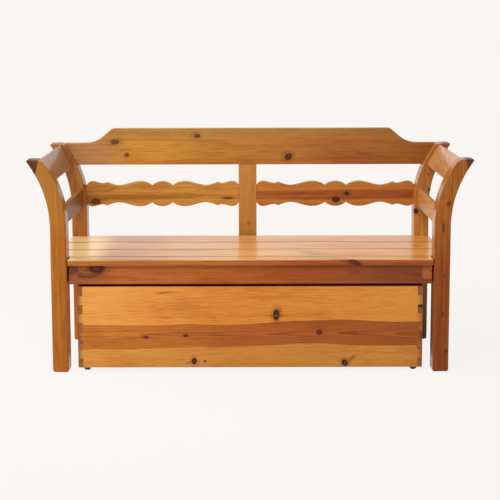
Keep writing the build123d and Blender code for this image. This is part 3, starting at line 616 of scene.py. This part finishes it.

# %% [markdown]
# ## Legs and arms
# All four legs are sawn from planks too narrow for the whole curve, so each has a separate tip. The
# left legs are golden, the right ones redder; the rear right leg darkens towards its foot with painted
# shade from under the bench. The grain runs straight up while the sawn shape curves away from it, as
# the solid pattern does by itself.

# %% Leg and arm boards
# Tones up each leg; the dark foot of the rear right leg is painted shade from under the bench
LEG_TONES_AND_SHADE = {
    "leg_front_left": [(0.0, (168, 100, 26)), (0.45, (171, 105, 27)), (0.8, (160, 104, 40))],
    "leg_front_right": [(0.0, (141, 70, 16)), (0.4, (143, 71, 16)), (0.6, (165, 95, 30)),
                        (0.8, (158, 95, 38))],
    "leg_rear_left": [(0.0, (182, 108, 44)), (0.45, (170, 104, 42)), (0.8, (154, 96, 44))],
    "leg_rear_right": [(0.0, (112, 72, 30)), (0.42, (196, 133, 56)), (0.8, (164, 105, 42))],
}
LEG_HEART = {
    "leg_front_left": {
        "under": [(0.0, -0.733), (0.8, -0.733)],
        "over": [(0.0, -0.60), (0.8, -0.60)],
        "tones": [(0.0, (158, 86, 24)), (0.5, (162, 92, 26)), (0.8, (164, 106, 36))],
        "soft": 0.008,
        "strength": 0.8,
    },
}
LEG_KNOTS = {
    "leg_front_right": [(0.080, 0.754, 0.0045, 1.6, 0.8), (0.226, 0.738, 0.0040, 3.0, 0.75),
                        (0.373, 0.744, 0.0032, 1.6, 0.7), (0.390, 0.714, 0.0050, 2.0, 0.35),
                        (0.562, 0.736, 0.0050, 3.6, 0.7), (0.654, 0.754, 0.0065, 1.4, 0.7, 30.0)],
    "leg_rear_right": [(0.543, 0.685, 0.0090, 1.1, 1.0), (0.631, 0.742, 0.0065, 1.0, 0.9),
                       (0.695, 0.736, 0.0035, 1.0, 0.7)],
}
TIP_TONES = {
    "leg_tip_front_left": [(0.755, (76, 34, 14)), (0.815, (96, 50, 26))],
    "leg_tip_front_right": [(0.755, (102, 58, 30)), (0.815, (92, 58, 36))],
    "leg_tip_rear_left": [(0.78, (162, 108, 60))],
    "leg_tip_rear_right": [(0.78, (150, 90, 46))],
}
for i, (node, tones) in enumerate(LEG_TONES_AND_SHADE.items()):
    out = OUT[node.split("_")[-1]]
    behind = 0.5 if "rear" in node else -0.1
    pine_board(node, "zxy", tones, (out * 0.67, behind), heart=LEG_HEART.get(node),
               knots=LEG_KNOTS.get(node, ()), ends=0.3, rough=0.2, gloss=0.1, coat=0.13, seed=51.0 + 2 * i)
    tip = node.replace("leg_", "leg_tip_")
    pine_board(tip, "zxy", TIP_TONES[tip], (out * 0.9, behind), ends=0.3, seed=61.0 + 2 * i)
ARM_TONES = {"left": (152, 96, 48), "right": (176, 122, 68)}
for i, (side, tone) in enumerate(ARM_TONES.items()):
    pine_board(f"arm_board_{side}", "yzx", [(0.0, tone)], (0.72, OUT[side] * 0.92), gloss=0.4, coat=0.4,
               seed=71.0 + i)
    pine_board(f"arm_rail_{side}", "yzx", [(0.0, tone)], (0.55, OUT[side] * 0.85), gloss=0.08, coat=0.0,
               seed=75.0 + i)
print("boards so far", len(boards_made))

# %% [markdown]
# ## Boards that nobody sees
# Battens, cleat, end rails and the drawer's bottom were left bare. They use the same recipe; the battens,
# cleat and drawer bottom get a paler tone and more roughness, and the battens and cleat no lacquer.

# %% Bare boards
BARE = [(0.0, (206, 158, 102))]
for i, (side, out) in enumerate(OUT.items()):
    pine_board(f"end_rail_{side}", "yzx", [(0.0, (178, 110, 54))], (0.3, out * 0.85), seed=81.0 + i)
for i, node in enumerate(("seat_batten_left", "seat_batten_right", "drawer_bottom_batten")):
    pine_board(node, "yxz", BARE, (0.0, 0.2), seed=84.0 + i, rough=0.6, coat=0.0)
pine_board("seat_cleat", "xzy", BARE, (0.3, 0.1), seed=88.0, rough=0.6, coat=0.0)
pine_board("drawer_bottom", "xyz", [(0.0, (214, 170, 116))], (0.0, -0.1), ring=0.009, seed=89.0,
           rough=0.55, coat=0.05)
print("all boards", len(boards_made))

# %% [markdown]
# ## Plastic wheels and steel
# The wheels and their housings are black moulded plastic with a fine pebble and some floor dust. The
# bolts, screws and axles are zinc plated.

# %% Plastic and steel
DUST = paint(120, 108, 96)
PEBBLE = (900, 900, 900)
SMUDGE = (60, 60, 60)
BLOOM = (140, 140, 140)
SCRATCH = (300, 2400, 300)


def surface_noise(finish, waves, detail):
    """Noise over a piece, with its waves per metre along each axis."""
    spot = finish.node("ShaderNodeTexCoord")["Object"]
    axes = finish.node("ShaderNodeSeparateXYZ", None, {0: spot})
    return finish.noise(axes["X"] * waves[0], axes["Y"] * waves[1], axes["Z"] * waves[2], detail)


def black_plastic(name, level, dust):
    """Pebbled plastic of a grey level, with a share of dust."""
    plastic = Finish(bpy.data.materials.new(name))
    pebble = surface_noise(plastic, PEBBLE, 2.0)
    smudge = surface_noise(plastic, SMUDGE, 3.0)
    colour = plastic.mix((smudge + 0.3) * dust, grey(level), DUST)
    inputs = {"Base Color": colour, "Roughness": 0.5 + smudge * 0.3}
    return plastic.surface(inputs, pebble, 0.2, 0.0002)


def zinc(name):
    """Zinc plate with a cloudy bloom and fine scratches."""
    steel = Finish(bpy.data.materials.new(name))
    bloom = surface_noise(steel, BLOOM, 3.0)
    scratch = surface_noise(steel, SCRATCH, 2.0)
    colour = steel.mix(bloom + 0.5, paint(176, 178, 182), paint(202, 200, 190))
    inputs = {"Base Color": colour, "Roughness": 0.34 + bloom * 0.25, "Metallic": 1.0}
    return steel.surface(inputs, scratch, 0.08, 0.0001)


wheel_black = black_plastic("wheel_plastic", 0.018, 0.35)
housing_black = black_plastic("housing_plastic", 0.026, 0.15)
plated = zinc("zinc_plate")
for name, piece in nodes.items():
    if name in boards_made:
        continue
    finish = plated
    if name.startswith("wheel_housing"):
        finish = housing_black
    elif name.startswith("wheel_") and name != "wheel_axles":
        finish = wheel_black
    piece.data.materials.clear()
    piece.data.materials.append(finish)
print("other pieces", len(nodes) - len(boards_made))

# %% [markdown]
# ## Floor, light and surroundings
# The bench stands on a pale floor in a pale room. The floor is one large plane: close to the bench it
# takes a soft shadow, further out it fades into the colour of the room. Camera and mirror rays see
# that colour, while the light on the bench comes from a large lamp above, a window at the left and a
# soft sky.

# %% Floor
ROOM = paint(249, 245, 242)
FLOOR_HALF = 120.0
FADE_START = 0.9
FADE_LENGTH = 1.6
SIDE_STRETCH = 0.45     # the bench is wide, so the fade is stretched sideways
GLOW_NEAR = 0.945       # how much of the floor's own shading the room's colour hides


def eye_rays(finish):
    """One for the rays an eye follows: straight, mirrored, or through something clear."""
    path = finish.node("ShaderNodeLightPath")
    straight_or_mirrored = path["Is Camera Ray"].math("MAXIMUM", path["Is Glossy Ray"])
    return straight_or_mirrored.math("MAXIMUM", path["Is Transmission Ray"])


plane = bpy.data.meshes.new("pale_floor")
corners = ((-1, -1), (1, -1), (1, 1), (-1, 1))
plane.from_pydata([(x * FLOOR_HALF, y * FLOOR_HALF, 0.0) for x, y in corners], [], [(0, 1, 2, 3)])
floor = bpy.data.objects.new("pale_floor", plane)
bpy.context.scene.collection.objects.link(floor)

pale = Finish(bpy.data.materials.new("pale_floor"))
spot = pale.node("ShaderNodeTexCoord")["Object"]
axes = pale.node("ShaderNodeSeparateXYZ", None, {0: spot})
away = (axes["X"] * axes["X"] * SIDE_STRETCH + axes["Y"] * axes["Y"]).math("SQRT")
far = away.rise(FADE_START, FADE_LENGTH)
glow = pale.node("ShaderNodeEmission", None, {"Color": ROOM, "Strength": 1.0})["Emission"]
matt = pale.node("ShaderNodeBsdfDiffuse", None, {"Color": ROOM})["BSDF"]
share = eye_rays(pale) * (GLOW_NEAR + far * (1.0 - GLOW_NEAR))
surface = pale.node("ShaderNodeMixShader", None, {0: share, 1: matt, 2: glow})["Shader"]
pale.node("ShaderNodeOutputMaterial", None, {"Surface": surface})
plane.materials.append(pale.owner)
print("floor", 2 * FLOOR_HALF, "m across")

# %% Light
SKY_STRENGTH = 0.42
# Each lamp's place, what it looks at, its size in metres and its watts
LAMPS = {
    "key_lamp": ((-1.2, -3.1, 4.5), (0.0, 0.0, 0.4), 2.6, 184.0),
    "window_lamp": ((-5.0, 0.2, 2.0), (0.0, 0.0, 0.5), 2.0, 210.0),
}

world = bpy.data.worlds.new("pale_room")
bpy.context.scene.world = world
sky = Finish(world)
strength = eye_rays(sky) * (1.0 - SKY_STRENGTH) + SKY_STRENGTH
air = sky.node("ShaderNodeBackground", None, {"Color": ROOM, "Strength": strength})["Background"]
sky.node("ShaderNodeOutputWorld", None, {"Surface": air})


def soft_lamp(name, place, target, size, watts):
    """A square area lamp that looks at a point."""
    lamp = bpy.data.lights.new(name, "AREA")
    lamp.size = size
    lamp.energy = watts
    holder = bpy.data.objects.new(name, lamp)
    turn = (Vector(target) - Vector(place)).to_track_quat("-Z", "Y").to_matrix()
    holder.matrix_world = Matrix.Translation(place) @ turn.to_4x4()
    bpy.context.scene.collection.objects.link(holder)


for name, settings in LAMPS.items():
    soft_lamp(name, *settings)
bpy.context.scene.view_settings.view_transform = "Standard"
print("light ready")
